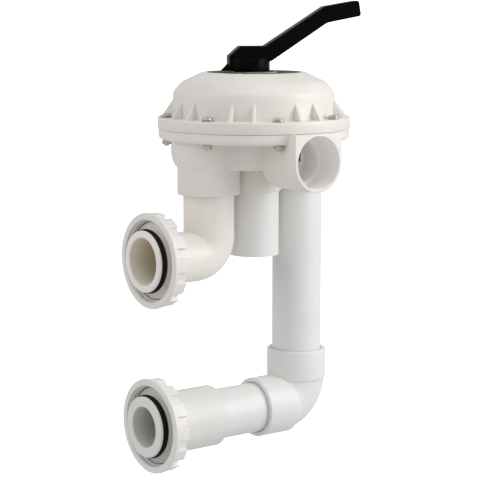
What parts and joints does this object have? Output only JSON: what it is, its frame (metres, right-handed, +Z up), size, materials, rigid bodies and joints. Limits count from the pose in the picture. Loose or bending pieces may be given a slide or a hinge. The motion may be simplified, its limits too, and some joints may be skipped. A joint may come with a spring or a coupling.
{
  "type": "three way valve",
  "caption": "Plastic three way pool filter valve: lever handle on a bolted domed cover, side ports, drop pipes and two unions that face the tank.",
  "frame": {"origin": "centre of the upper union's mouth, in the plane of its nut's front face", "axes": "-X out of both unions towards the filter tank, +Z up along the valve's axis towards the handle, front port towards -Y and back port towards +Y"},
  "size_m": [0.2791, 0.2465, 0.5492],
  "materials": {
    "valve_plastic": "moulded white plastic with a soft gloss",
    "elbow_plastic": "moulded cream white plastic with a soft gloss",
    "pipe_plastic": "extruded white pipe plastic, satin",
    "nut_plastic": "moulded white plastic with a soft gloss",
    "handle_plastic": "moulded black plastic, semi gloss",
    "inner_plastic": "moulded dark plastic, satin",
    "label": "printed plastic label, satin",
    "steel": "stainless steel, worn bright",
    "rubber": "black rubber, lightly greased"
  },
  "bodies": {
    "valve": {"body": "valve_plastic", "body_flange": "valve_plastic", "down_ports": "valve_plastic", "front_port": "valve_plastic", "back_port": "valve_plastic", "chamber_webs": "valve_plastic", "cover": "valve_plastic", "cover_o_ring": "rubber", "spider_gasket": "rubber", "label_plate": "label", "bolt_1": "steel", "bolt_2": "steel", "bolt_3": "steel", "bolt_4": "steel", "bolt_5": "steel", "bolt_6": "steel", "bolt_7": "steel", "bolt_8": "steel", "washer_1": "steel", "washer_2": "steel", "washer_3": "steel", "washer_4": "steel", "washer_5": "steel", "washer_6": "steel", "washer_7": "steel", "washer_8": "steel", "hex_nut_1": "steel", "hex_nut_2": "steel", "hex_nut_3": "steel", "hex_nut_4": "steel", "hex_nut_5": "steel", "hex_nut_6": "steel", "hex_nut_7": "steel", "hex_nut_8": "steel", "street_elbow": "elbow_plastic", "upper_tail": "elbow_plastic", "upper_union_o_ring": "rubber", "centre_tube": "pipe_plastic", "drop_pipe": "pipe_plastic", "lower_elbow": "pipe_plastic", "short_pipe": "pipe_plastic", "lower_tailpiece": "pipe_plastic", "lower_union_o_ring": "rubber"},
    "turning_parts": {"slip_washer": "inner_plastic", "spring": "steel"},
    "rotor": {"rotor": "valve_plastic", "stem_o_ring_1": "rubber", "stem_o_ring_2": "rubber", "spring_washer": "steel", "handle_pin": "inner_plastic"},
    "handle": {"handle": "handle_plastic"},
    "upper_nut": {"upper_union_nut": "nut_plastic"},
    "lower_nut": {"lower_union_nut": "nut_plastic"}
  },
  "joints": [
    {"name": "valve_turn", "type": "hinge", "parent": "valve", "child": "turning_parts", "pos_m": [0.154, 0, 0.147], "axis": [0, 0, 1], "continuous": true},
    {"name": "rotor_lift", "type": "slide", "parent": "turning_parts", "child": "rotor", "axis": [0, 0, 1], "range_m": [0, 0.005], "stiffness_N_per_m": 8000, "springref_m": -0.012, "deforming": ["spring"]},
    {"name": "handle_tilt", "type": "hinge", "parent": "rotor", "child": "handle", "pos_m": [0.154, 0, 0.229], "axis": [0.5, 0.866, 0], "range_deg": [0, 14.5]},
    {"name": "upper_nut_turn", "type": "hinge", "parent": "valve", "child": "upper_nut", "pos_m": [0.01, 0, 0], "axis": [1, 0, 0], "continuous": true},
    {"name": "lower_nut_turn", "type": "hinge", "parent": "valve", "child": "lower_nut", "pos_m": [0.01, 0, -0.1955], "axis": [1, 0, 0], "continuous": true}
  ],
  "couplings": [
    {"joint": "handle_tilt", "follows": "rotor_lift", "rad_per_m": 50}
  ]
}
